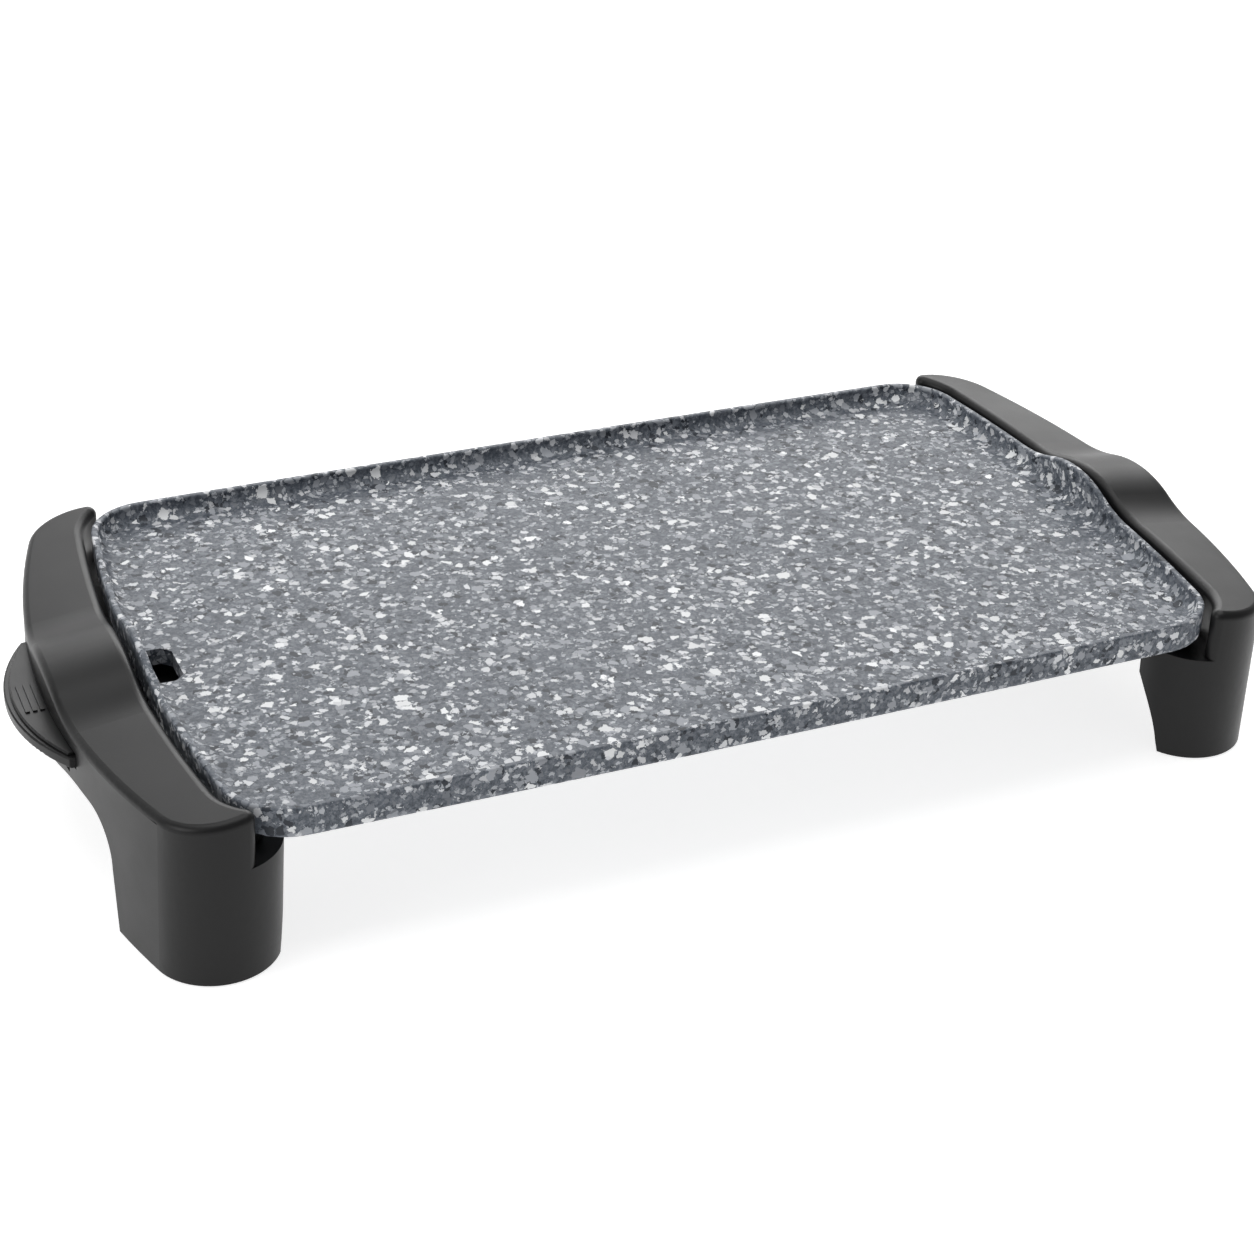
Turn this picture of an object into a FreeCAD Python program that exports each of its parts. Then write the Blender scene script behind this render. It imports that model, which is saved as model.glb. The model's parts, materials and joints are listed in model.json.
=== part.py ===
import FreeCAD, Part
import os
import Sketcher

# Electric griddle: a cast plate with a rim, carried by two moulded ends that are handle and legs
# in one.  Millimetres, +Z up, the table at z = 0.  The plate is centred on x = 0 while it is
# designed, and every sub-part is then moved by centre_shift along X, so that the origin is the
# middle of the whole object's footprint, drip tray grip included.

os.makedirs("parts", exist_ok=True)
doc = FreeCAD.newDocument("electric_griddle")
Vector = FreeCAD.Vector

# ---------------------------------------------------------------- driving dimensions
SIZES = {
    # cast plate
    "plate_length": 460, "plate_width": 272, "side_radius": 817, "front_bow": 1.4,
    "plate_corner": 28, "plate_bottom": 61.6, "plate_under": 62.8, "pan_floor": 67,
    "rim_top": 75.4, "rim_width": 3.2, "pan_round": 6, "rim_round": 1, "skirt_width": 6,
    "skirt_round": 2.6, "rim_hump": 8.5, "rim_hump_half": 46,
    # drain hole in the left end of the pan
    "drain_outer": 222.5, "drain_inner": 211.5, "drain_half": 14, "drain_clip": 4,
    "spout_wall": 2, "spout_bottom": 59.4,
    # tubular heating element, half sunk in a ridge under the plate
    "tube_radius": 4, "tube_level": 54, "ridge_half": 6.5,
    "loop_right": 158, "loop_left": 170, "loop_half": 85, "loop_bend": 20, "lead_half": 16,
    "lead_end": 204, "clamp_reach": 12, "clamp_boss": 4, "clamp_level": 50,
    # moulded ends: handle and two legs in one
    "end_reach": 267.7, "foot_reach": 270.7, "end_radius": 383, "post_radius": 26, "post_x_split": 232,
    "post_y_top": 111.4, "post_y_foot": 108.4, "shell_lift": 0.8, "shell_wall": 3,
    "loft_top": 90, "end_inside": 150, "tip_round": 4, "handle_top": 75.4, "handle_fall": 5,
    "handle_hump": 7.6, "handle_hump_half": 46, "plate_gap": 3.6, "ledge_top": 53,
    "arch_half": 86, "arch_lean": 4, "arch_top": 48.6, "arch_corner": 20, "arch_dip": 41,
    "dip_half": 54, "inner_arch_half": 122, "inner_lean": 1.5, "inner_spring": 6,
    "inner_bend": 15, "inner_crown": 36, "post_floor": 4, "edge_round": 3.4,
    # fixings of the ends
    "fixing_x": 214, "fixing_y": 113, "lug_y": 64, "lug_half": 9, "lug_reach": 235.9,
    "riser_thick": 4, "riser_height": 8, "fixing_boss": 6, "spacer_top": 58,
    "screw_radius": 2, "screw_tip": 65, "head_radius": 4, "head_height": 2.6, "head_round": 0.8,
    # small screws of the clamps, the rails and the inlet
    "small_screw": 1.5, "small_head": 2.8, "small_head_height": 1.8, "small_hole": 1.7,
    "small_grip": 2.6, "strap_width": 10, "strap_thick": 1,
    # rubber feet
    "foot_x": 241.5, "foot_y": 111, "foot_radius": 9, "foot_thick": 2.4, "foot_stem": 2.5,
    # drip tray and its rails
    "tray_half": 40, "tray_back": 197.5, "tray_front": 263.5, "tray_bottom": 50.6,
    "tray_lip": 56.5, "tray_top": 58, "tray_wall": 1.6, "tray_lip_half": 44.6,
    "tab_reach": 283, "tab_half": 48.6, "tab_shoulder": 268, "tab_bottom": 56.9,
    "tab_top": 62.8, "tab_step": 61.4, "tab_inset": 2.4, "tab_round": 0.7,
    "rib_length": 22, "rib_width": 1.8, "rib_pitch": 3,
    "rib_height": 0.6, "rib_inset": 5.6, "slot_gap": 0.6, "shelf_gap": 0.3,
    "rail_wall": 1.6, "rail_front": 220.5, "rail_flange": 10,
    # inlet for the plug-in thermostat, in the right end
    "inlet_half": 26, "inlet_bottom": 47.8, "inlet_top": 61.4, "inlet_back": 206,
    "inlet_front": 262, "inlet_wall": 1.8, "pin_root": 2, "pin_radius": 2.5,
    "pin_end": 246,
    "probe_radius": 4, "probe_bore": 2.8, "probe_back": 194, "probe_end": 232,
    "bush_radius": 4, "bush_length": 6, "ear_length": 12, "ear_width": 9, "ear_drop": 3,
    "earth_length": 30, "earth_width": 5, "earth_thick": 0.8, "earth_offset": 6, "earth_drop": 5,
    # whole object
    "centre_shift": 6.82,
}
sheet = doc.addObject("Spreadsheet::Sheet", "sizes")
for row, (alias, number) in enumerate(SIZES.items(), start=1):
    sheet.set(f"A{row}", alias.replace("_", " "))
    sheet.set(f"B{row}", str(number))
    sheet.setAlias(f"B{row}", alias)
doc.recompute()


def bound(text):
    """The expression text with each alias written as a cell of the sheet."""
    words = []
    word = ""
    for letter in str(text) + " ":
        if letter.isalnum() or letter in "_.":
            word += letter
            continue
        words.append("sizes." + word if word in SIZES else word)
        words.append(letter)
        word = ""
    return "".join(words).strip()


def size(text):
    return float(sheet.evalExpression(bound(text)))


# ---------------------------------------------------------------- helpers
PARTS = []
PAST = "1"     # how far a cutter, or a boss that grows out of a face, starts beyond that face
DEEP = "60"    # longer than an end is thick, for cuts right through its wall


def keep(thing, label):
    """Name a finished sub-part and move it from the plate's centre to the object's centre."""
    thing.Label = label
    thing.Placement.Base = Vector(0, 0, 0)
    thing.setExpression("Placement.Base.x", "sizes.centre_shift")
    PARTS.append(thing)


def new_body(name):
    return doc.addObject("PartDesign::Body", name)


def new_sketch(body, name, plane, lift="0"):
    """Sketch on one of the body's own origin planes, moved along the plane's normal."""
    sketch = body.newObject("Sketcher::SketchObject", name)
    for feature in body.Origin.OriginFeatures:
        if feature.Role == plane:
            sketch.AttachmentSupport = [(feature, "")]
    sketch.MapMode = "FlatFace"
    sketch.setExpression("AttachmentOffset.Base.z", bound(lift))
    return sketch


def pin_point(sketch, geometry, place, across, up):
    """Bind one point of a sketch to two expressions measured from its origin."""
    for kind, text in (("DistanceX", across), ("DistanceY", up)):
        index = sketch.addConstraint(
            Sketcher.Constraint(kind, -1, 1, geometry, place, size(text)))
        sketch.setExpression(f"Constraints[{index}]", bound(text))


def add_stretch(sketch, here, step):
    """Line, or arc through a bound middle point, from here to step; returns it and its first end."""
    a = Vector(size(here[0]), size(here[1]), 0)
    b = Vector(size(step[0]), size(step[1]), 0)
    if len(step) == 4:
        middle = Vector(size(step[2]), size(step[3]), 0)
        number = sketch.addGeometry(Part.Arc(a, middle, b), False)
        helper = sketch.addGeometry(Part.Point(middle), True)
        sketch.addConstraint(Sketcher.Constraint("PointOnObject", helper, 1, number))
        pin_point(sketch, helper, 1, step[2], step[3])
    else:
        number = sketch.addGeometry(Part.LineSegment(a, b), False)
    return number, 1 if sketch.getPoint(number, 1).distanceToPoint(a) < 1e-4 else 2


def outline(sketch, start, steps):
    """Closed outline.  A step is the end of a line, or the end and a point on the way of an arc."""
    stretches = list(zip([start] + steps, steps))
    last_step = steps[-1]
    if max(abs(size(last_step[0]) - size(start[0])), abs(size(last_step[1]) - size(start[1]))) > 1e-6:
        stretches.append((last_step, start))
    opening = last = None
    for here, step in stretches:
        number, first = add_stretch(sketch, here, step)
        pin_point(sketch, number, first, *here[:2])
        if last:
            sketch.addConstraint(Sketcher.Constraint("Coincident", *last, number, first))
        opening = opening or (number, first)
        last = (number, 3 - first)
    sketch.addConstraint(Sketcher.Constraint("Coincident", *last, *opening))
    return sketch


def rectangle(sketch, left, right, low, high):
    return outline(sketch, (left, low), [(right, low), (right, high), (left, high)])


def circles(sketch, centres, radius):
    for across, up in centres:
        circle = Part.Circle(Vector(size(across), size(up), 0), Vector(0, 0, 1), size(radius))
        number = sketch.addGeometry(circle, False)
        pin_point(sketch, number, 3, across, up)
        index = sketch.addConstraint(Sketcher.Constraint("Radius", number, size(radius)))
        sketch.setExpression(f"Constraints[{index}]", bound(radius))
    return sketch


def extrude(body, kind, name, sketch, length, upward=True):
    """Pad or Pocket of a stated length, along the sketch's normal when upward is true."""
    feature = body.newObject("PartDesign::" + kind, name)
    feature.Profile = sketch
    feature.setExpression("Length", bound(length))
    feature.Reversed = upward if kind == "Pocket" else not upward
    sketch.Visibility = False
    return feature


def pad(body, name, sketch, length, upward=True):
    return extrude(body, "Pad", name, sketch, length, upward)


def pocket(body, name, sketch, length, upward=True):
    return extrude(body, "Pocket", name, sketch, length, upward)


def loft(body, kind, name, profile, section):
    feature = body.newObject("PartDesign::" + kind, name)
    feature.Profile = profile
    feature.Sections = [section]
    feature.Ruled = True
    return feature


def round_edges(body, name, radius, test):
    """Fillet the edges of the body's last feature that pass the test."""
    doc.recompute()
    base = body.Tip
    chosen = [f"Edge{i}" for i, edge in enumerate(base.Shape.Edges, start=1) if test(edge)]
    fillet = body.newObject("PartDesign::Fillet", name)
    fillet.Base = (base, chosen)
    fillet.setExpression("Radius", bound(radius))
    return fillet


def mid(edge):
    return edge.valueAt((edge.FirstParameter + edge.LastParameter) / 2)


def both(values):
    """The same offsets on both sides of zero."""
    return [sign + value for value in values for sign in ("-", "")]


def hump_profile(sketch, half, level, rise, far="150", ceiling="120"):
    """Everything above a level line that swells into a smooth hump round the middle."""
    quarter = f"{half} / 2"
    # an arc of radius R through the ends of each quarter wave: R = (half^2 + rise^2) / (4 rise)
    big = f"(({half})^2 + ({rise})^2) / (4 * ({rise}))"
    turn = f"asin(({half}) / 2 / ({big})) / 2"
    low = f"{level} + ({big}) * (1 - cos({turn}))"
    side = f"({big}) * sin({turn})"
    return outline(sketch, (f"-{far}", level), [
        (f"-({half})", level),
        (f"-({quarter})", f"{level} + {rise} / 2", f"-({half}) + {side}", low),
        (f"{quarter}", f"{level} + {rise} / 2", "0", f"{level} + {rise}"),
        (half, level, f"{half} - {side}", low),
        (far, level), (far, ceiling), (f"-{far}", ceiling)])


def box(name, corner, spans):
    solid = doc.addObject("Part::Box", name)
    for axis, text in zip("xyz", corner):
        solid.setExpression(f"Placement.Base.{axis}", bound(text))
    for side, text in zip(("Length", "Width", "Height"), spans):
        solid.setExpression(side, bound(text))
    return solid


def rod(name, foot, radius, length, along="z"):
    """Cylinder from the point foot, along +Z, +X or +Y."""
    solid = doc.addObject("Part::Cylinder", name)
    turns = {"z": (Vector(0, 0, 1), 0), "x": (Vector(0, 1, 0), 90), "y": (Vector(1, 0, 0), -90)}
    solid.Placement.Rotation = FreeCAD.Rotation(*turns[along])
    for axis, text in zip("xyz", foot):
        solid.setExpression(f"Placement.Base.{axis}", bound(text))
    solid.setExpression("Radius", bound(radius))
    solid.setExpression("Height", bound(length))
    return solid


def join(name, solids):
    union = doc.addObject("Part::MultiFuse", name)
    union.Shapes = solids
    return union


def cut(name, base, tools):
    result = doc.addObject("Part::Cut", name)
    result.Base = base
    result.Tool = tools[0] if len(tools) == 1 else join(name + "_tools", tools)
    return result


def group(name, solids):
    """Separate solids that share one node."""
    compound = doc.addObject("Part::Compound", name)
    compound.Links = solids
    return compound


# ---------------------------------------------------------------- the plate
def plate_outline(sketch, inset):
    """Four shallow arcs: the short sides bow outwards by several millimetres, the long ones less."""
    across = f"(plate_length / 2 - {inset})"
    along = f"(plate_width / 2 - {inset})"
    corner_y = f"({along} - front_bow)"
    corner_x = f"({across} - side_radius + sqrt(side_radius ^ 2 - {corner_y} ^ 2))"
    return outline(sketch, (f"-{corner_x}", f"-{corner_y}"), [
        (corner_x, f"-{corner_y}", "0", f"-{along}"),
        (corner_x, corner_y, across, "0"),
        (f"-{corner_x}", corner_y, "0", along),
        (f"-{corner_x}", f"-{corner_y}", f"-{across}", "0")])


def corner_test(inset):
    """Test for the four steep edges where the outline drawn at this inset turns its corners."""
    corner_y = size(f"plate_width / 2 - front_bow - {inset}")
    corner_x = size(f"plate_length / 2 - {inset} - side_radius"
                    f" + sqrt(side_radius ^ 2 - (plate_width / 2 - front_bow) ^ 2)")

    def steep_corner(edge):
        low, high = sorted(vertex.Point.z for vertex in edge.Vertexes[:1] + edge.Vertexes[-1:])
        place = mid(edge)
        return high - low > 5 and abs(abs(place.x) - corner_x) < 3 and abs(abs(place.y) - corner_y) < 3
    return steep_corner


def loop_half_way(sign):
    """Half of the element's centre line: from one lead, round a corner and along one side."""
    bend = "loop_bend * (1 - sqrt(0.5))"
    return [("lead_end", f"{sign}lead_half"),
            ("loop_right + loop_bend", f"{sign}lead_half"),
            ("loop_right", f"{sign}(lead_half + loop_bend)",
             f"loop_right + {bend}", f"{sign}(lead_half + {bend})"),
            ("loop_right", f"{sign}(loop_half - loop_bend)"),
            ("loop_right - loop_bend", f"{sign}loop_half",
             f"loop_right - {bend}", f"{sign}(loop_half - {bend})"),
            ("-(loop_left - loop_bend)", f"{sign}loop_half"),
            ("-loop_left", f"{sign}(loop_half - loop_bend)",
             f"-(loop_left - {bend})", f"{sign}(loop_half - {bend})")]


def element_line(sketch):
    """Centre line of the element: in by one lead, round under the plate and out by the other."""
    chain = loop_half_way("")
    back = loop_half_way("-")[::-1]
    chain.append(back[0][:2])
    for step, following in zip(back, back[1:]):
        chain.append(following[:2] + step[2:])
    last = None
    for here, step in zip(chain, chain[1:]):
        number, first = add_stretch(sketch, here, step)
        if last:
            sketch.addConstraint(Sketcher.Constraint("Coincident", *last, number, first))
        else:
            pin_point(sketch, number, first, *here[:2])
        last = (number, 3 - first)
        pin_point(sketch, *last, *step[:2])
    return sketch


def sweep(body, kind, name, profile, path):
    feature = body.newObject("PartDesign::" + kind, name)
    feature.Profile = profile
    feature.Spine = path
    feature.Transition = "Right corner"
    return feature


def clamp_spots():
    """Each clamp crosses the element: (x, y) of its two screws."""
    spots = []
    for x in ("-90", "90"):
        for y in ("loop_half", "-loop_half"):
            spots.append([(x, f"{y} - clamp_reach"), (x, f"{y} + clamp_reach")])
    spots.append([("-loop_left - clamp_reach", "0"), ("-loop_left + clamp_reach", "0")])
    return spots


def fixing_spots():
    """Screws of the right end: one in each post's ledge, one in each lug."""
    return [("fixing_x", y) for y in ("fixing_y", "-fixing_y", "lug_y", "-lug_y")]


def rail_spots(sign):
    """The two screws of the front rail, or of the rear one, by the sign."""
    y = f"{sign}(tray_lip_half + slot_gap + rail_wall + rail_flange / 2)"
    return [("-(rail_front - rail_flange / 2)", y), ("-(tray_back + rail_flange / 2)", y)]


def ear_spots():
    """The screws that hold the inlet's shroud under the plate."""
    return [("inlet_back + ear_length / 2", f"{sign}(inlet_half + ear_width / 2)")
            for sign in ("-", "")]


def make_plate():
    body = new_body("plate_casting")
    plan = plate_outline(new_sketch(body, "plate_plan", "XY_Plane", "plate_bottom"), "0")
    pad(body, "plate_block", plan, f"rim_top + rim_hump + {PAST} - plate_bottom")
    round_edges(body, "plate_corners", "plate_corner", corner_test("0"))
    brim = hump_profile(new_sketch(body, "rim_profile", "YZ_Plane", "-plate_length"),
                        "rim_hump_half", "rim_top", "rim_hump")
    pocket(body, "rim_shape", brim, "2 * plate_length")
    round_edges(body, "plate_foot_round", "skirt_round",
                lambda e: abs(mid(e).z - size("plate_bottom")) < 0.01)
    return body


def make_pan():
    """The hollow of the pan as a solid of its own, with round corners and a wide soft floor edge."""
    body = new_body("pan_hollow")
    floor = plate_outline(new_sketch(body, "pan_plan", "XY_Plane", "pan_floor"), "rim_width")
    pad(body, "pan_block", floor, f"rim_top + rim_hump + 2 * {PAST} - pan_floor")
    round_edges(body, "pan_corners", "plate_corner - rim_width", corner_test("rim_width"))
    round_edges(body, "pan_floor_round", "pan_round",
                lambda edge: abs(mid(edge).z - size("pan_floor")) < 0.01)
    return body


def finish_plate(body):
    drain = outline(new_sketch(body, "drain_plan", "XY_Plane", f"spout_bottom - {PAST}"),
                    ("-drain_outer", "-drain_half"), [
        ("-(drain_inner + drain_clip)", "-drain_half"),
        ("-drain_inner", "-(drain_half - drain_clip)"),
        ("-drain_inner", "drain_half - drain_clip"),
        ("-(drain_inner + drain_clip)", "drain_half"),
        ("-drain_outer", "drain_half")])
    hollow = plate_outline(new_sketch(body, "underside_plan", "XY_Plane", "plate_bottom"),
                           "skirt_width")
    pocket(body, "underside", hollow, "plate_under - plate_bottom")
    # everything below grows down from the underside, so each sketch lies on that level
    spout = rectangle(new_sketch(body, "spout_plan", "XY_Plane", "plate_under"),
                      "-(drain_outer + spout_wall)", "-(drain_inner - spout_wall)",
                      "-(drain_half + spout_wall)", "drain_half + spout_wall")
    pad(body, "spout", spout, "plate_under - spout_bottom", upward=False)
    path = element_line(new_sketch(body, "ridge_path", "XY_Plane", "tube_level"))
    section = rectangle(new_sketch(body, "ridge_section", "YZ_Plane", "lead_end"),
                        "lead_half - ridge_half", "lead_half + ridge_half",
                        "tube_level", f"plate_under + {PAST}")
    sweep(body, "AdditivePipe", "element_ridge", section, path)
    bosses = [("fixing_boss", "spacer_top", [(x, y) for x in ("fixing_x", "-fixing_x")
                                             for y in both(["fixing_y", "lug_y"])]),
              ("clamp_boss", "clamp_level", [spot for pair in clamp_spots() for spot in pair])]
    for number, (radius, level, spots) in enumerate(bosses):
        plan = circles(new_sketch(body, f"boss_plan_{number}", "XY_Plane", "plate_under"),
                       spots, radius)
        pad(body, f"bosses_{number}", plan, f"plate_under - {level}", upward=False)
    drain.Visibility = False
    pocket(body, "drain_hole", drain, "rim_top")
    return body


def sketch_holes(body, name, spots, radius, bottom, top):
    plan = circles(new_sketch(body, name + "_plan", "XY_Plane", bottom), spots, radius)
    return pocket(body, name, plan, f"{top} - ({bottom})")


def make_tube(name, radius):
    """Solid swept along the element's centre line: the element itself, or its groove in the plate."""
    body = new_body(name)
    path = element_line(new_sketch(body, name + "_path", "XY_Plane", "tube_level"))
    section = circles(new_sketch(body, name + "_section", "YZ_Plane", "lead_end"),
                      [("lead_half", "tube_level")], radius)
    sweep(body, "AdditivePipe", name + "_sweep", section, path)
    return body


# ---------------------------------------------------------------- moulded ends
def post_centre(reach, post_y):
    """X of the post's rounded front, tangent inside the end's long outer arc."""
    return f"({reach} - end_radius + sqrt((end_radius - post_radius) ^ 2 - ({post_y}) ^ 2))"


def end_outline(sketch, reach, post_y, inset="0"):
    """Plan of an end: a long outer arc, two round posts and a straight inner side."""
    centre = post_centre(reach, post_y)
    round_off = f"(post_radius - {inset})"
    inner = f"{centre} - {round_off}"
    share = f"(end_radius - {inset}) / (end_radius - post_radius)"
    touch_x = f"{reach} - end_radius + {share} * ({centre} - {reach} + end_radius)"
    touch_y = f"{share} * {post_y}"
    return outline(sketch, (inner, f"-{post_y}"), [
        (touch_x, f"-({touch_y})", centre, f"-({post_y} + {round_off})"),
        (touch_x, touch_y, f"{reach} - {inset}", "0"),
        (inner, post_y, centre, f"{post_y} + {round_off}")])


def crown(station, drop="0"):
    """Height of the handle's top at a station along X: it falls gently towards the outside."""
    edge = "(plate_length / 2 + plate_gap)"
    return f"(handle_top - {drop} - handle_fall * ({station} - {edge}) / (end_reach - {edge}))"


def inner_edge(sketch, extra="0"):
    """The side of the handle that follows the plate's bowed short side and its round corners."""
    gap = f"(plate_gap + {extra})"
    centre_y = "(plate_width / 2 - front_bow - plate_corner)"
    middle = "(plate_length / 2 - side_radius)"
    centre_x = f"({middle} + sqrt((side_radius - plate_corner) ^ 2 - {centre_y} ^ 2))"
    share = f"((side_radius + {gap}) / (side_radius - plate_corner))"
    touch_x = f"{middle} + {share} * ({centre_x} - {middle})"
    touch_y = f"({share} * {centre_y})"
    bend = f"(plate_corner + {gap})"
    far = f"({centre_y} + {bend})"
    way_x = f"{centre_x} + {bend} * cos(45)"
    way_y = f"({centre_y} + {bend} * sin(45))"
    return outline(sketch, ("end_inside", f"-{far}"), [
        (centre_x, f"-{far}"),
        (touch_x, f"-{touch_y}", way_x, f"-{way_y}"),
        (touch_x, touch_y, f"plate_length / 2 + {gap}", "0"),
        (centre_x, far, way_x, way_y),
        ("end_inside", far)])


def end_solid(name, inset, foot, drop):
    """Lofted end, trimmed by the humped top and by the step that the plate sits in."""
    body = new_body(name)
    low = end_outline(new_sketch(body, name + "_foot_plan", "XY_Plane", foot),
                      "foot_reach", "post_y_foot", inset)
    high = end_outline(new_sketch(body, name + "_top_plan", "XY_Plane", "loft_top"),
                       "end_reach", "post_y_top", inset)
    loft(body, "AdditiveLoft", name + "_block", low, high)
    sides = []
    for station in ("190", "300"):
        sides.append(hump_profile(new_sketch(body, f"{name}_crown_{station}", "YZ_Plane", station),
                                  "handle_hump_half", crown(station, drop), "handle_hump"))
    loft(body, "SubtractiveLoft", name + "_crown", *sides)
    step = inner_edge(new_sketch(body, name + "_step_plan", "XY_Plane", f"ledge_top - {inset}"),
                      inset)
    pocket(body, name + "_step", step, "loft_top")
    return body


def arch_cuts(body):
    """The opening between the two legs, taller in the outer wall than at the posts' inner side."""
    dip = "(arch_top - arch_dip)"
    big = f"(dip_half ^ 2 + {dip} ^ 2) / (4 * {dip})"
    turn = f"asin(dip_half / 2 / ({big})) / 2"
    level = f"arch_top - ({big}) * (1 - cos({turn}))"
    way = f"dip_half - ({big}) * sin({turn})"
    shoulder = "(arch_half - arch_lean)"
    spring = "(arch_top - arch_corner)"
    bend = "arch_corner * (1 - sqrt(0.5))"
    below = f"-{PAST}"
    outer = outline(new_sketch(body, "outer_arch", "YZ_Plane", "post_x_split"), ("-arch_half", below), [
        (f"-{shoulder}", spring),
        (f"-({shoulder} - arch_corner)", "arch_top", f"-({shoulder} - {bend})", f"arch_top - {bend}"),
        ("-dip_half", "arch_top"),
        ("-dip_half / 2", f"arch_top - {dip} / 2", f"-({way})", level),
        ("dip_half / 2", f"arch_top - {dip} / 2", "0", "arch_dip"),
        ("dip_half", "arch_top", way, level),
        (f"{shoulder} - arch_corner", "arch_top"),
        (shoulder, spring, f"{shoulder} - {bend}", f"arch_top - {bend}"),
        ("arch_half", below)])
    pocket(body, "outer_arch_cut", outer, DEEP)
    foot, spring, crown_end, way = [f"(inner_arch_half - {lean})" for lean in (
        "0", "inner_lean", "inner_bend", "inner_bend * 0.41")]
    way_level = f"(inner_spring + inner_crown) / 2 + {PAST}"
    inner = outline(new_sketch(body, "inner_arch", "YZ_Plane", "post_x_split"), (f"-{foot}", below), [
        (f"-{spring}", "inner_spring"),
        (f"-{crown_end}", "inner_crown", f"-{way}", way_level),
        (f"-{crown_end}", "ledge_top"),
        (crown_end, "ledge_top"),
        (crown_end, "inner_crown"),
        (spring, "inner_spring", way, way_level),
        (foot, below)])
    pocket(body, "inner_arch_cut", inner, DEEP, upward=False)


def end_edges(edge):
    """The outer edge of the handle's top, from one tip round to the other."""
    place = mid(edge)
    inside = size("plate_length / 2 + plate_gap") - place.y ** 2 / 2 / size("side_radius")
    return place.z > size("handle_top - handle_fall") - 4 and place.x > inside + 2


def tip_edges(edge):
    """The steep inner edge at each tip of the handle, above the ledge."""
    low, high = sorted(vertex.Point.z for vertex in edge.Vertexes[:1] + edge.Vertexes[-1:])
    return abs(low - size("ledge_top")) < 0.1 and high - low > 10 and abs(mid(edge).y) > size("fixing_y")


def make_end():
    """Right-hand end, hollow from below, with lugs and holes for its screws and feet."""
    shell = end_solid("end_shell", "0", "shell_lift", "0")
    round_edges(shell, "end_tip_round", "tip_round", tip_edges)
    round_edges(shell, "end_top_round", "edge_round", end_edges)
    arch_cuts(shell)
    core = end_solid("end_core", "shell_wall", "post_floor", "shell_wall")
    lugs = []
    for number, y in enumerate(("lug_y", "-lug_y")):
        low = (f"{y} - lug_half", "ledge_top - shell_wall")
        lugs.append(box(f"lug_{number}", ("fixing_x - lug_half", *low),
                        ("lug_reach + lug_half - fixing_x", "2 * lug_half", "shell_wall")))
        lugs.append(box(f"lug_riser_{number}", ("lug_reach - riser_thick", *low),
                        ("riser_thick", "2 * lug_half", "riser_height")))
    holes = [rod(f"end_hole_{number}", (x, y, f"ledge_top - shell_wall - {PAST}"),
                 "screw_radius + slot_gap", f"shell_wall + 2 * {PAST}")
             for number, (x, y) in enumerate(fixing_spots())]
    for number, y in enumerate(("foot_y", "-foot_y")):
        holes.append(rod(f"foot_recess_{number}", ("foot_x", y, "0"), "foot_radius + 0.1", "foot_thick"))
        holes.append(rod(f"foot_hole_{number}", ("foot_x", y, "0"), "foot_stem", f"post_floor + {PAST}"))
    hollow = cut("end_hollow", shell, [core])
    return cut("end_moulding", join("end_with_lugs", [hollow] + lugs), holes)


def slotted_left_end(moulding):
    """Left-hand end: the mirror image, with a stepped slot for the drip tray."""
    mirror = doc.addObject("Part::Mirroring", "left_end_mirror")
    mirror.Source = moulding
    mirror.Normal = Vector(1, 0, 0)
    slot_left = "-(foot_reach + slot_gap)"
    upper = box("slot_upper", (slot_left, "-(tab_half + slot_gap)", "tray_lip - slot_gap"),
                (DEEP, "2 * (tab_half + slot_gap)", "tab_top - tray_lip + 2 * slot_gap"))
    lower = box("slot_lower", (slot_left, "-(tray_half + slot_gap)", "tray_bottom - slot_gap"),
                (DEEP, "2 * (tray_half + slot_gap)", "tray_lip - tray_bottom + slot_gap"))
    return cut("left_end", mirror, [upper, lower])


def windowed_right_end(moulding):
    """Right-hand end, with a window in front of the inlet."""
    window = box("inlet_window", ("end_reach - 50", "-(inlet_half + shelf_gap)",
                                  "inlet_bottom - shelf_gap"),
                 (DEEP, "2 * (inlet_half + shelf_gap)", "inlet_top - inlet_bottom + 2 * shelf_gap"))
    return cut("right_end", moulding, [window])


# ---------------------------------------------------------------- fixings
def screw(name, x, y, head_level, tip, radius="screw_radius", head="head_radius",
          thick="head_height"):
    """Screw driven upwards: its head hangs below head_level."""
    shank = rod(name + "_shank", (x, y, f"{head_level} - {thick} / 4"), radius,
                f"{tip} - ({head_level}) + {thick} / 4")
    cap = rod(name + "_head", (x, y, f"{head_level} - {thick}"), head, thick)
    rounded = doc.addObject("Part::Fillet", name + "_pan_head")
    rounded.Base = cap
    doc.recompute()
    low = [number for number, edge in enumerate(cap.Shape.Edges, start=1)
           if edge.Length > 1 and abs(mid(edge).z - size(f"{head_level} - {thick}")) < 0.01]
    rounded.Edges = [(number, size("head_round"), size("head_round")) for number in low]
    drive = rod(name + "_drive", (x, y, f"{head_level} - {thick}"), f"{head} / 3", f"{thick} / 2")
    return cut(name, join(name + "_blank", [rounded, shank]), [drive])


def small_screw(name, x, y, head_level, tip):
    return screw(name, x, y, head_level, tip, "small_screw", "small_head", "small_head_height")


def ring(name, x, y, low, high, outer, inner):
    body = rod(name + "_outside", (x, y, low), outer, f"{high} - ({low})")
    bore = rod(name + "_bore", (x, y, low), inner, f"{high} - ({low})")
    return cut(name, body, [bore])


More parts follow.
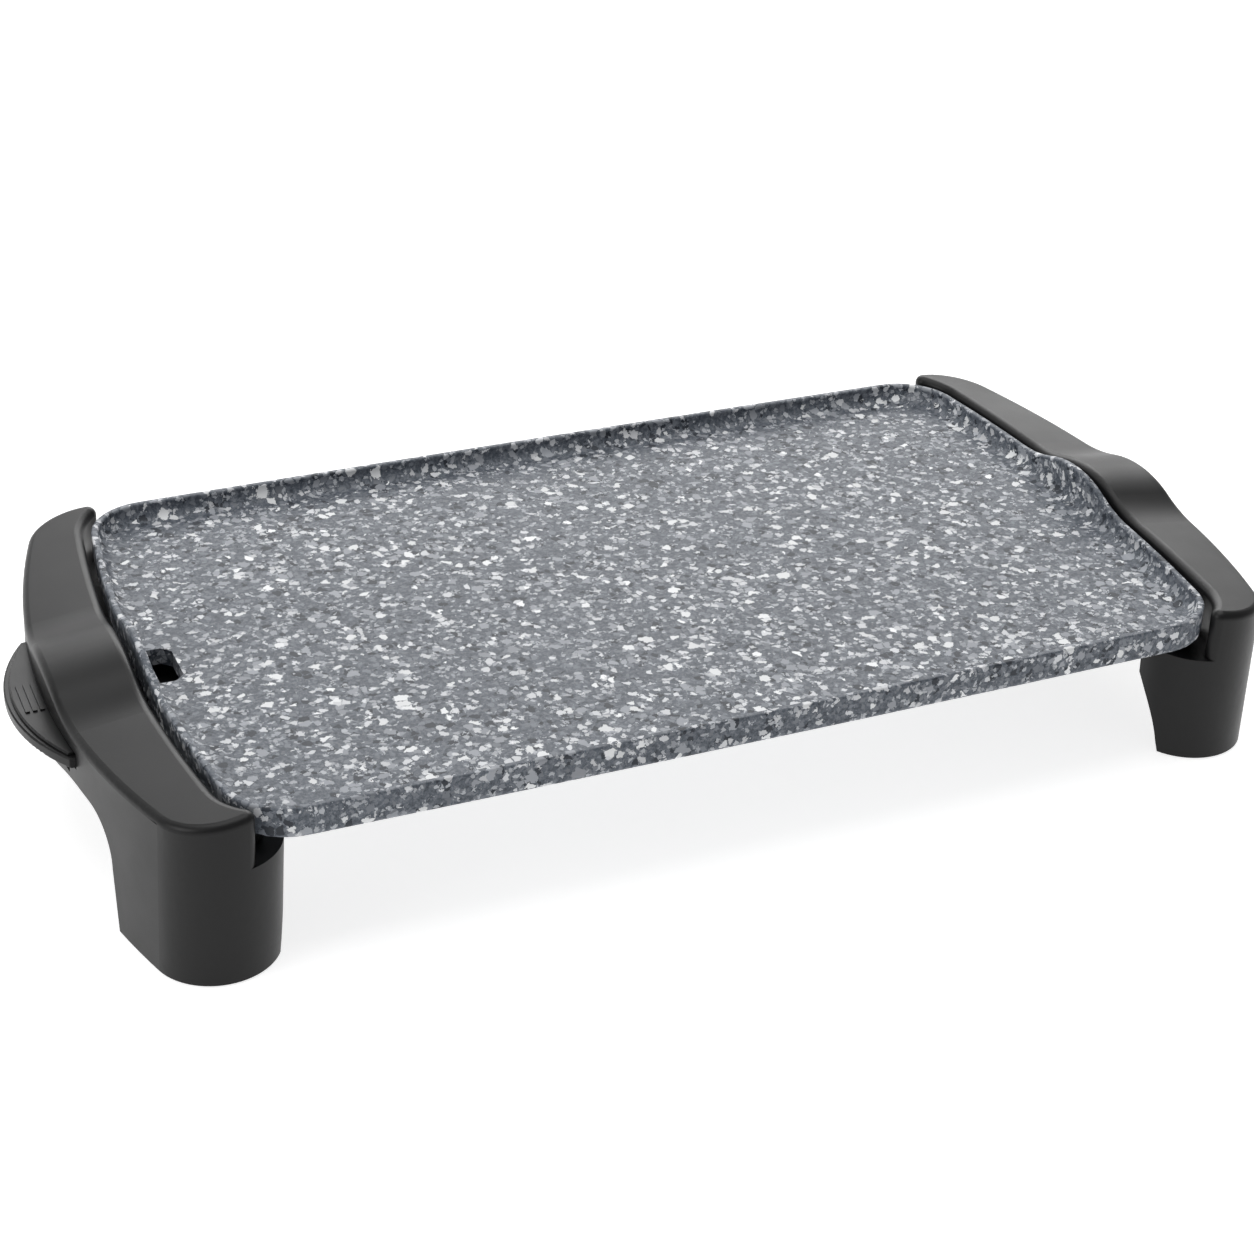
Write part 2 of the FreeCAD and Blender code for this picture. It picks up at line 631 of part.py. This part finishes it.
def make_end_fixings(side, sign):
    screws = []
    spacers = []
    for number, (x, y) in enumerate(fixing_spots()):
        place = f"{sign}{x}"
        screws.append(screw(f"{side}_screw_{number}", place, y, "ledge_top - shell_wall", "screw_tip"))
        spacers.append(ring(f"{side}_spacer_{number}", place, y, "ledge_top", "spacer_top",
                            "fixing_boss", "screw_radius + shelf_gap"))
    keep(group(f"{side}_screws", screws), f"{side}_handle_screws")
    keep(group(f"{side}_spacers", spacers), f"{side}_handle_spacers")


def make_foot(name, x, y):
    pad_disc = rod(name + "_disc", (x, y, "0"), "foot_radius", "foot_thick")
    stem = rod(name + "_stem", (x, y, f"foot_thick - {PAST}"), "foot_stem",
               f"post_floor - foot_thick + 2 * {PAST}")
    barb = doc.addObject("Part::Cone", name + "_barb")
    for axis, text in zip("xyz", (x, y, "post_floor")):
        barb.setExpression(f"Placement.Base.{axis}", bound(text))
    barb.setExpression("Radius1", bound("foot_stem + head_round"))
    barb.setExpression("Radius2", bound("foot_stem - head_round"))
    barb.setExpression("Height", bound("foot_stem"))
    keep(join(name, [pad_disc, stem, barb]), name)


# ---------------------------------------------------------------- drip tray
def step_foot(place):
    """Whether the point lies on the foot of the tab's raised middle."""
    inside = abs(place.y) < size("tab_half") - 0.1 and place.x > -size("tab_reach") + 0.1
    return inside and abs(place.z - size("tab_step")) < 0.01


def make_tray():
    body = new_body("tray")
    front = "-tray_front"
    plan = rectangle(new_sketch(body, "tray_plan", "XY_Plane", "tray_bottom"),
                     front, "-tray_back", "-tray_half", "tray_half")
    pad(body, "tray_block", plan, "tray_top - tray_bottom")
    lip = rectangle(new_sketch(body, "tray_lip_plan", "XY_Plane", "tray_lip"),
                    front, "-tray_back", "-tray_lip_half", "tray_lip_half")
    pad(body, "tray_lip_block", lip, "tray_top - tray_lip")
    tab = outline(new_sketch(body, "tab_plan", "XY_Plane", "tab_bottom"),
                  ("-(tray_front - tray_wall)", "-tab_half"), [
        ("-(tray_front - tray_wall)", "tab_half"),
        ("-tab_shoulder", "tab_half"),
        ("-tab_shoulder", "-tab_half", "-tab_reach", "0")])
    pad(body, "tab", tab, "tab_step - tab_bottom")
    raised = outline(new_sketch(body, "tab_raised_plan", "XY_Plane", "tab_step - rib_height"),
                     ("-(tray_front - tray_wall)", "-(tab_half - tab_inset)"), [
        ("-(tray_front - tray_wall)", "tab_half - tab_inset"),
        ("-tab_shoulder", "tab_half - tab_inset"),
        ("-tab_shoulder", "-(tab_half - tab_inset)", "-(tab_reach - tab_inset)", "0")])
    pad(body, "tab_raised", raised, "tab_top - tab_step + rib_height")
    hollow = rectangle(new_sketch(body, "tray_hollow_plan", "XY_Plane", "tray_bottom + tray_wall"),
                       "-(tray_front - tray_wall)", "-(tray_back + tray_wall)",
                       "-(tray_half - tray_wall)", "tray_half - tray_wall")
    pocket(body, "tray_hollow", hollow, "tray_top")
    round_edges(body, "tab_edge_round", "tab_round",
                lambda edge: mid(edge).x < -size("tab_shoulder - tray_wall")
                and not step_foot(mid(edge)))
    grip = new_sketch(body, "grip_plan", "XY_Plane", "tab_top - rib_height")
    for number in range(3):
        low = f"-(tab_reach - rib_inset - rib_pitch * {number})"
        rectangle(grip, low, f"{low} + rib_width", "-rib_length / 2", "rib_length / 2")
    pad(body, "grip_ribs", grip, "2 * rib_height")
    keep(body, "drip_tray")


def make_rails():
    """Two angle rails under the plate; the tray's lip slides between their shelves."""
    screws = []
    for name, sign in (("front_tray_rail", "-"), ("rear_tray_rail", "")):
        inner = "(tray_lip_half + slot_gap)"
        body = new_body(name + "_body")
        section = new_sketch(body, name + "_section", "YZ_Plane", "-rail_front")
        shelf = "(tray_lip - shelf_gap)"
        shelf_edge = "(tray_half + slot_gap + rail_wall / 2)"
        outline(section, (f"{sign}{shelf_edge}", f"{shelf} - rail_wall"), [
            (f"{sign}({inner} + rail_wall)", f"{shelf} - rail_wall"),
            (f"{sign}({inner} + rail_wall)", "plate_under - rail_wall"),
            (f"{sign}({inner} + rail_wall + rail_flange)", "plate_under - rail_wall"),
            (f"{sign}({inner} + rail_wall + rail_flange)", "plate_under"),
            (f"{sign}{inner}", "plate_under"),
            (f"{sign}{inner}", shelf),
            (f"{sign}{shelf_edge}", shelf)])
        pad(body, name + "_length", section, "rail_front - tray_back")
        holes = [rod(f"{name}_hole_{number}", (x, y, f"plate_under - rail_wall - {PAST}"),
                     "small_hole", f"rail_wall + 2 * {PAST}")
                 for number, (x, y) in enumerate(rail_spots(sign))]
        keep(cut(name, body, holes), name)
        for number, (x, y) in enumerate(rail_spots(sign)):
            screws.append(small_screw(f"{name}_screw_{number}", x, y, "plate_under - rail_wall",
                                      "plate_under + small_grip"))
    keep(group("rail_screws", screws), "tray_rail_screws")


# ---------------------------------------------------------------- element and inlet
def make_clamps():
    straps = []
    screws = []
    for number, (first, second) in enumerate(clamp_spots()):
        x, y = first
        overhang = "(clamp_boss + strap_thick)"
        along = f"2 * (clamp_reach + {overhang})"
        if first[1] == second[1]:
            corner = (f"{x} - {overhang}", f"{y} - strap_width / 2", "clamp_level - strap_thick")
            spans = (along, "strap_width", "strap_thick")
        else:
            corner = (f"{x} - strap_width / 2", f"{y} - {overhang}", "clamp_level - strap_thick")
            spans = ("strap_width", along, "strap_thick")
        strap = box(f"strap_{number}", corner, spans)
        holes = []
        for end, spot in enumerate((first, second)):
            holes.append(rod(f"strap_hole_{number}_{end}", (*spot, f"clamp_level - strap_thick - {PAST}"),
                             "small_hole", f"strap_thick + 2 * {PAST}"))
            screws.append(small_screw(f"clamp_screw_{number}_{end}", *spot, "clamp_level - strap_thick",
                                      "clamp_level + 3 * small_grip"))
        straps.append(cut(f"clamp_{number}", strap, holes))
    keep(group("clamps", straps), "element_clamps")
    keep(group("clamp_screws", screws), "element_clamp_screws")


def make_inlet():
    """Shroud, pins, bushes, probe guide and earth contact behind the window in the right end."""
    body = new_body("shroud")
    frame = rectangle(new_sketch(body, "shroud_section", "YZ_Plane", "inlet_back"),
                      "-inlet_half", "inlet_half", "inlet_bottom", "inlet_top")
    pad(body, "shroud_block", frame, "inlet_front - inlet_back")
    mouth = rectangle(new_sketch(body, "shroud_mouth", "YZ_Plane", "inlet_back + inlet_wall"),
                      "-(inlet_half - inlet_wall)", "inlet_half - inlet_wall",
                      "inlet_bottom + inlet_wall", "inlet_top - inlet_wall")
    pocket(body, "shroud_mouth_cut", mouth, "inlet_front")
    ears = new_sketch(body, "shroud_ears", "XY_Plane", "inlet_top - ear_drop")
    for sign in ("-", ""):
        rectangle(ears, "inlet_back", "inlet_back + ear_length",
                  f"{sign}(inlet_half - inlet_wall / 2)", f"{sign}(inlet_half + ear_width)")
    pad(body, "shroud_ear_block", ears, "plate_under - inlet_top + ear_drop")
    behind = f"inlet_back - {PAST}"
    through = f"inlet_wall + 2 * {PAST}"
    holes = [rod(f"bush_hole_{number}", (behind, y, "tube_level"), "bush_radius + shelf_gap / 2", through, "x")
             for number, y in enumerate(("lead_half", "-lead_half"))]
    holes.append(rod("probe_hole", (behind, "0", "tube_level"), "probe_radius", through, "x"))
    holes += [rod(f"ear_hole_{number}", (*spot, f"inlet_top - ear_drop - {PAST}"), "small_hole",
                  f"plate_under - inlet_top + ear_drop + 2 * {PAST}")
              for number, spot in enumerate(ear_spots())]
    keep(cut("shroud_bored", body, holes), "inlet_shroud")
    screws = [small_screw(f"inlet_screw_{number}", *spot, "inlet_top - ear_drop",
                          "plate_under + small_grip") for number, spot in enumerate(ear_spots())]
    keep(group("inlet_screws", screws), "inlet_shroud_screws")

    bushes = []
    pins = []
    for number, y in enumerate(("lead_half", "-lead_half")):
        sleeve = rod(f"bush_sleeve_{number}", ("inlet_back", y, "tube_level"), "bush_radius",
                     "bush_length", "x")
        bore = rod(f"bush_bore_{number}", (behind, y, "tube_level"), "pin_root",
                   f"bush_length + 2 * {PAST}", "x")
        bushes.append(cut(f"bush_{number}", sleeve, [bore]))
        root = rod(f"pin_root_{number}", ("lead_end", y, "tube_level"), "pin_root",
                   "inlet_back + bush_length - lead_end", "x")
        shaft = rod(f"pin_shaft_{number}", ("inlet_back + bush_length", y, "tube_level"), "pin_radius",
                    "pin_end - pin_radius - inlet_back - bush_length", "x")
        nose = doc.addObject("Part::Sphere", f"pin_nose_{number}")
        nose.setExpression("Radius", bound("pin_radius"))
        for axis, text in zip("xyz", ("pin_end - pin_radius", y, "tube_level")):
            nose.setExpression(f"Placement.Base.{axis}", bound(text))
        pins.append(join(f"pin_{number}", [root, shaft, nose]))
    keep(group("bushes", bushes), "terminal_bushes")
    keep(group("pins", pins), "terminal_pins")

    guide = rod("probe_outside", ("probe_back", "0", "tube_level"), "probe_radius",
                "probe_end - probe_back", "x")
    bore = rod("probe_inside", ("probe_back + inlet_wall", "0", "tube_level"), "probe_bore", DEEP, "x")
    keep(cut("probe_guide_tube", guide, [bore]), "probe_guide")

    seat = "inlet_back + inlet_wall"
    strip = box("earth_strip", (seat, "earth_offset", "inlet_top - inlet_wall - earth_thick"),
                ("earth_length", "earth_width", "earth_thick"))
    tail = box("earth_foot", (seat, "earth_offset", "inlet_top - inlet_wall - earth_drop"),
               ("earth_thick", "earth_width", "earth_drop"))
    keep(join("earth_spring", [strip, tail]), "earth_contact")


# ---------------------------------------------------------------- assembly
plate = finish_plate(make_plate())
for title, places, reach, bottom, top in (
        ("end_screw_holes", [(sign + x, y) for x, y in fixing_spots() for sign in ("", "-")],
         "screw_radius", f"spacer_top - {PAST}", "screw_tip"),
        ("clamp_screw_holes", [spot for pair in clamp_spots() for spot in pair],
         "small_screw", f"clamp_level - {PAST}", "clamp_level + 3 * small_grip"),
        ("small_screw_holes", rail_spots("-") + rail_spots("") + ear_spots(),
         "small_screw", f"plate_under - {PAST}", "plate_under + small_grip")):
    sketch_holes(plate, title, places, reach, bottom, top)
groove = make_tube("element_groove", "tube_radius + shelf_gap / 2")
bare_plate = cut("plate_with_pan", plate, [make_pan(), groove])
doc.recompute()
rim = doc.addObject("Part::Fillet", "plate_with_round_rim")
rim.Base = bare_plate
rim.Edges = [(number, size("rim_round"), size("rim_round"))
             for number, edge in enumerate(bare_plate.Shape.Edges, start=1)
             if min(v.Point.z for v in edge.Vertexes) > size("rim_top") - 0.1]
keep(rim, "griddle_plate")
end = make_end()
keep(slotted_left_end(end), "left_handle_leg")
keep(windowed_right_end(end), "right_handle_leg")
make_end_fixings("left", "-")
make_end_fixings("right", "")
for corner, x, y in (("front_left", "-foot_x", "-foot_y"), ("rear_left", "-foot_x", "foot_y"),
                     ("front_right", "foot_x", "-foot_y"), ("rear_right", "foot_x", "foot_y")):
    make_foot(corner + "_foot", x, y)
make_tray()
make_rails()
make_clamps()
make_inlet()
keep(make_tube("element_tube", "tube_radius"), "heating_element")
doc.recompute()

# ---------------------------------------------------------------- check and export
for thing in doc.Objects:
    if "Invalid" in thing.State or "Error" in thing.State:
        raise RuntimeError(f"{thing.Label} did not compute: {thing.State}")
for thing in PARTS:
    if thing.Shape.isNull() or not thing.Shape.isValid():
        raise RuntimeError(f"{thing.Label} has no valid shape")
    box_of = thing.Shape.optimalBoundingBox()
    print(f"{thing.Label:24s} solids {len(thing.Shape.Solids)}  volume {thing.Shape.Volume:10.1f}  "
          f"x {box_of.XMin:7.2f} {box_of.XMax:7.2f}  y {box_of.YMin:7.2f} {box_of.YMax:7.2f}  "
          f"z {box_of.ZMin:6.2f} {box_of.ZMax:6.2f}")
    thing.Shape.exportStep(f"parts/{thing.Label}.step")
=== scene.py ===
import json
import math

import bmesh
import bpy
from mathutils import Matrix, Vector


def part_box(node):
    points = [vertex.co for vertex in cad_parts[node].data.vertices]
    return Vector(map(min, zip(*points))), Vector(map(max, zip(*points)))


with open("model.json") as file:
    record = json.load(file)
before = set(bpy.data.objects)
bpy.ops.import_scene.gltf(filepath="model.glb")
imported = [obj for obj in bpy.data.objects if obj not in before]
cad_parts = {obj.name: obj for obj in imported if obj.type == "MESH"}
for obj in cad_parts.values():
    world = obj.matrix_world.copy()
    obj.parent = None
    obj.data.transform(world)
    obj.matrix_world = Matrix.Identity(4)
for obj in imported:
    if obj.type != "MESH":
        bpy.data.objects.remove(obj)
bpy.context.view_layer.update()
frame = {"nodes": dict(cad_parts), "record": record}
nodes = frame["nodes"]
scene = bpy.context.scene


# ---------------------------------------------------------------- places, from the frame
PLATE_LOW, PLATE_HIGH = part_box("griddle_plate")
CENTRE_X = (PLATE_LOW[0] + PLATE_HIGH[0]) / 2


# ---------------------------------------------------------------- node materials
class Recipe:
    """Short calls for building one node material in object coordinates."""

    def __init__(self, name):
        self.material = bpy.data.materials.new(name)
        self.material.use_nodes = True
        self.tree = self.material.node_tree
        self.shader = self.tree.nodes["Principled BSDF"]
        self.place = self.add("ShaderNodeTexCoord").outputs["Object"]

    def add(self, kind, **settings):
        node = self.tree.nodes.new(kind)
        for name, value in settings.items():
            setattr(node, name, value)
        return node

    def link(self, source, target):
        self.tree.links.new(source, target)

    def feed(self, node, **values):
        """Set or link the inputs of a node by name."""
        for name, value in values.items():
            socket = node.inputs[name]
            if isinstance(value, bpy.types.NodeSocket):
                self.link(value, socket)
            else:
                socket.default_value = value
        return node

    def noise(self, scale, detail=3.0, roughness=0.5, place=None):
        node = self.add("ShaderNodeTexNoise")
        self.link(place or self.place, node.inputs["Vector"])
        return self.feed(node, Scale=scale, Detail=detail, Roughness=roughness)

    def cells(self, scale, feature="F1", place=None):
        node = self.add("ShaderNodeTexVoronoi", feature=feature)
        self.link(place or self.place, node.inputs["Vector"])
        return self.feed(node, Scale=scale)

    def steps(self, value, *stops):
        """Colour ramp; each stop is (position, grey or colour)."""
        node = self.add("ShaderNodeValToRGB")
        ramp = node.color_ramp
        while len(ramp.elements) < len(stops):
            ramp.elements.new(0.5)
        for element, (position, colour) in zip(ramp.elements, stops):
            element.position = position
            if not isinstance(colour, tuple):
                colour = (colour, colour, colour)
            element.color = (*colour, 1)
        self.link(value, node.inputs["Fac"])
        return node.outputs["Color"]

    def mix(self, share, first, second, blend="MIX"):
        node = self.add("ShaderNodeMix", data_type="RGBA", blend_type=blend)
        for index, value in ((0, share), (6, first), (7, second)):
            socket = node.inputs[index]
            if isinstance(value, bpy.types.NodeSocket):
                self.link(value, socket)
            elif isinstance(value, tuple):
                socket.default_value = (*value, 1)
            else:
                socket.default_value = value
        return node.outputs[2]

    def maths(self, operation, first, second=0.0):
        node = self.add("ShaderNodeMath", operation=operation)
        for socket, value in zip(node.inputs, (first, second)):
            if isinstance(value, bpy.types.NodeSocket):
                self.link(value, socket)
            else:
                socket.default_value = value
        return node.outputs[0]

    def bump(self, height, strength, distance):
        node = self.add("ShaderNodeBump")
        self.feed(node, Strength=strength, Distance=distance, Height=height)
        self.link(node.outputs["Normal"], self.shader.inputs["Normal"])


LAYER_SHIFT = (0.37, 0.11, 0.53)   # metres between the cells of one layer of chips and of the next
LEAST_CUT = 0.02                    # the least that a chip is cut back from its cell's border
RELIEF_OF_CHIPS = 0.3               # height of a chip against the fine grain


def chip_layer(made, place, number, scale, keep_above, edge):
    """Angular chips: cells chosen by their random value, each cut back from the cell's border."""
    offset = made.add("ShaderNodeVectorMath", operation="ADD")
    made.link(place, offset.inputs[0])
    offset.inputs[1].default_value = tuple(number * shift for shift in LAYER_SHIFT)
    lot = made.add("ShaderNodeSeparateColor")
    made.link(made.cells(scale, place=offset.outputs[0]).outputs["Color"], lot.inputs["Color"])
    border = made.cells(scale, "DISTANCE_TO_EDGE", place=offset.outputs[0]).outputs["Distance"]
    chosen = made.maths("GREATER_THAN", lot.outputs["Red"], keep_above)
    cut_back = made.maths("MULTIPLY_ADD", lot.outputs["Green"], edge)
    cut_back.node.inputs[2].default_value = LEAST_CUT
    inside = made.maths("GREATER_THAN", border, cut_back)
    return made.maths("MULTIPLY", chosen, inside), lot.outputs["Blue"]


def stone_coat():
    """Speckled stone-effect coating: slate ground, angular chips of several sizes, fine grain."""
    made = Recipe("stone_coat")
    warp = made.noise(420.0, 3.0, 0.7)
    shifted = made.add("ShaderNodeVectorMath", operation="MULTIPLY_ADD")
    made.link(warp.outputs["Color"], shifted.inputs[0])
    shifted.inputs[1].default_value = (0.0035, 0.0035, 0.0035)
    made.link(made.place, shifted.inputs[2])
    place = shifted.outputs[0]
    ground_noise = made.noise(520.0, 5.0, 0.75, place=place).outputs["Fac"]
    colour = made.steps(ground_noise, (0.34, (0.026, 0.032, 0.042)), (0.5, (0.074, 0.085, 0.102)),
                        (0.66, (0.16, 0.174, 0.198)))
    # each layer: cells per metre, share left out, cut back from the border, colour
    layers = ((360.0, 0.60, 0.20, (0.155, 0.168, 0.19)),
              (260.0, 0.80, 0.22, (0.024, 0.029, 0.038)),
              (460.0, 0.78, 0.16, (0.36, 0.375, 0.40)),
              (230.0, 0.86, 0.22, (0.27, 0.285, 0.31)),
              (300.0, 0.86, 0.18, (0.54, 0.55, 0.57)),
              (230.0, 0.93, 0.20, (0.70, 0.71, 0.72)))
    height = None
    for number, (scale, keep_above, edge, tint) in enumerate(layers):
        chip, lightness = chip_layer(made, place, number, scale, keep_above, edge)
        shade = made.mix(lightness, tuple(0.74 * part for part in tint), tint)
        colour = made.mix(chip, colour, shade)
        height = chip if height is None else made.maths("MAXIMUM", height, chip)
    # painted light: the coating on upright faces is made a little lighter than on the floor of the
    # pan
    facing = made.add("ShaderNodeSeparateXYZ")
    made.link(made.add("ShaderNodeNewGeometry").outputs["Normal"], facing.inputs[0])
    upright_painted_light = made.steps(facing.outputs["Z"], (0.25, 1.15), (0.75, 1.0))
    # multiplies the coating by the painted light on upright faces
    colour = made.mix(1.0, colour, upright_painted_light, "MULTIPLY")
    made.feed(made.shader, Roughness=made.steps(ground_noise, (0.2, 0.44), (0.8, 0.6)))
    made.link(colour, made.shader.inputs["Base Color"])
    made.shader.inputs["Specular IOR Level"].default_value = 0.3
    fine = made.noise(900.0, 3.0, 0.6).outputs["Fac"]
    relief = made.maths("MULTIPLY_ADD", height, RELIEF_OF_CHIPS)
    made.link(fine, relief.node.inputs[2])
    made.bump(relief, 0.3, 0.0002)
    return made.material


def moulded_plastic(name, tone, roughness, grain=1500.0):
    """Spark-eroded mould grain on dark plastic, with faint flow marks and polished patches."""
    made = Recipe(name)
    cloud = made.noise(28.0, 4.0, 0.55).outputs["Fac"]
    base = made.steps(cloud, (0.3, tuple(0.86 * part for part in tone)), (0.7, tone))
    made.link(base, made.shader.inputs["Base Color"])
    made.link(made.steps(cloud, (0.25, roughness - 0.05), (0.75, roughness + 0.05)),
              made.shader.inputs["Roughness"])
    made.shader.inputs["Specular IOR Level"].default_value = 0.24
    fine = made.noise(grain, 2.0, 0.6).outputs["Fac"]
    made.bump(fine, 0.16, 0.0001)
    return made.material


def brushed_metal(name, tone, roughness, stretch=(60.0, 900.0, 900.0)):
    """Rolled or turned metal: fine marks along X, with duller patches."""
    made = Recipe(name)
    scaled = made.add("ShaderNodeVectorMath", operation="MULTIPLY")
    made.link(made.place, scaled.inputs[0])
    scaled.inputs[1].default_value = stretch
    marks = made.noise(1.0, 3.0, 0.6, place=scaled.outputs[0]).outputs["Fac"]
    patches = made.noise(90.0, 4.0, 0.6).outputs["Fac"]
    colour = made.steps(patches, (0.3, tuple(0.75 * part for part in tone)), (0.7, tone))
    made.link(colour, made.shader.inputs["Base Color"])
    made.shader.inputs["Metallic"].default_value = 1.0
    made.link(made.steps(marks, (0.3, roughness - 0.08), (0.7, roughness + 0.1)),
              made.shader.inputs["Roughness"])
    made.bump(marks, 0.1, 0.0001)
    return made.material


def soft_rubber():
    made = Recipe("foot_rubber")
    cloud = made.noise(220.0, 4.0, 0.6).outputs["Fac"]
    made.link(made.steps(cloud, (0.3, (0.02, 0.02, 0.021)), (0.7, (0.045, 0.045, 0.046))),
              made.shader.inputs["Base Color"])
    made.link(made.steps(cloud, (0.2, 0.75), (0.8, 0.92)), made.shader.inputs["Roughness"])
    made.bump(made.noise(1800.0, 2.0).outputs["Fac"], 0.2, 0.0001)
    return made.material


def ceramic(name):
    made = Recipe(name)
    cloud = made.noise(300.0, 4.0, 0.6).outputs["Fac"]
    made.link(made.steps(cloud, (0.3, (0.62, 0.59, 0.52)), (0.7, (0.78, 0.76, 0.7))),
              made.shader.inputs["Base Color"])
    made.link(made.steps(cloud, (0.2, 0.45), (0.8, 0.7)), made.shader.inputs["Roughness"])
    made.bump(cloud, 0.15, 0.0001)
    return made.material


FINISHES = {
    "stone_coat": stone_coat(),
    "end_plastic": moulded_plastic("end_plastic", (0.0065, 0.0065, 0.0068), 0.38),
    "element_steel": brushed_metal("element_steel", (0.22, 0.2, 0.18), 0.45),
    "zinc_steel": brushed_metal("zinc_steel", (0.55, 0.55, 0.53), 0.38),
    "plated_steel": brushed_metal("plated_steel", (0.75, 0.74, 0.72), 0.22),
    "insulator": ceramic("insulator"),
    "foot_rubber": soft_rubber(),
}
SLOT_OF = {part["node"]: part["material_slot"] for part in frame["record"]["subparts"]}
for name, thing in nodes.items():
    thing.data.materials.clear()
    thing.data.materials.append(FINISHES[SLOT_OF[name]])


# ---------------------------------------------------------------- floor, light and camera
def make_floor():
    """Pale floor that curves up into a backdrop behind the griddle."""
    reach = 6.0
    rise_from = 3.0
    profile = [(-reach, 0.0)]
    bend = 1.5
    for step in range(13):
        turn = math.radians(90 * step / 12)
        profile.append((rise_from + bend * math.sin(turn), bend * (1 - math.cos(turn))))
    profile.append((rise_from + bend, 6.0))
    mesh = bpy.data.meshes.new("floor")
    maker = bmesh.new()
    rows = [[maker.verts.new((x, y, z)) for x in (-reach, reach)] for y, z in profile]
    for lower, upper in zip(rows, rows[1:]):
        maker.faces.new((lower[0], lower[1], upper[1], upper[0])).smooth = True
    maker.to_mesh(mesh)
    maker.free()
    floor = bpy.data.objects.new("floor", mesh)
    scene.collection.objects.link(floor)
    made = Recipe("floor_paper")
    cloud = made.noise(3.0, 2.0).outputs["Fac"]
    made.link(made.steps(cloud, (0.3, 0.50), (0.7, 0.52)), made.shader.inputs["Base Color"])
    made.shader.inputs["Roughness"].default_value = 0.9
    made.shader.inputs["Specular IOR Level"].default_value = 0.1
    made.shader.inputs["Emission Color"].default_value = (1, 1, 1, 1)
    made.shader.inputs["Emission Strength"].default_value = 0.78
    mesh.materials.append(made.material)


def area_light(name, place, target, size, power):
    lamp = bpy.data.lights.new(name, "AREA")
    lamp.shape = "RECTANGLE"
    lamp.size, lamp.size_y = size
    lamp.energy = power
    holder = bpy.data.objects.new(name, lamp)
    holder.location = place
    holder.rotation_euler = (Vector(target) - Vector(place)).to_track_quat("-Z", "Y").to_euler()
    scene.collection.objects.link(holder)


def make_lights():
    world = bpy.data.worlds.new("studio")
    scene.world = world
    world.use_nodes = True
    world.node_tree.nodes["Background"].inputs["Color"].default_value = (1, 1, 1, 1)
    world.node_tree.nodes["Background"].inputs["Strength"].default_value = 0.3
    area_light("top_softbox", (0.0, 0.1, 1.9), (0, 0, 0.05), (2.2, 1.6), 27)
    area_light("left_softbox", (-2.0, -0.3, 1.0), (0, 0, 0.05), (1.2, 1.0), 13)
    area_light("back_softbox", (0.9, 2.0, 1.25), (0, 0, 0.05), (2.2, 1.1), 28)


# Camera in the frame of the plate's centre: metres, degrees and millimetres of a 36 mm sensor.
CAMERA_PLACE = Vector((-0.40212, -0.87856, 0.59679))
CAMERA_AZIMUTH = math.radians(-24.298)
CAMERA_ELEVATION = math.radians(29.891)
CAMERA_ROLL = math.radians(1.918)
CAMERA_LENS = 70.28


def make_camera():
    """Camera that looks at the griddle from the front left, a little tilted."""
    camera = bpy.data.cameras.new("camera")
    camera.lens = CAMERA_LENS
    camera.sensor_width = 36.0
    camera.clip_start = 0.01
    holder = bpy.data.objects.new("camera", camera)
    back = Vector((math.sin(CAMERA_AZIMUTH) * math.cos(CAMERA_ELEVATION),
                   -math.cos(CAMERA_AZIMUTH) * math.cos(CAMERA_ELEVATION),
                   math.sin(CAMERA_ELEVATION)))
    right = Vector((math.cos(CAMERA_AZIMUTH), math.sin(CAMERA_AZIMUTH), 0))
    up = back.cross(right)
    turn = Matrix((right, up, back)).transposed().to_4x4() @ Matrix.Rotation(CAMERA_ROLL, 4, "Z")
    holder.matrix_world = Matrix.Translation(CAMERA_PLACE + Vector((CENTRE_X, 0, 0))) @ turn
    scene.collection.objects.link(holder)
    scene.camera = holder


make_camera()
make_floor()
make_lights()
scene.view_settings.view_transform = "Standard"
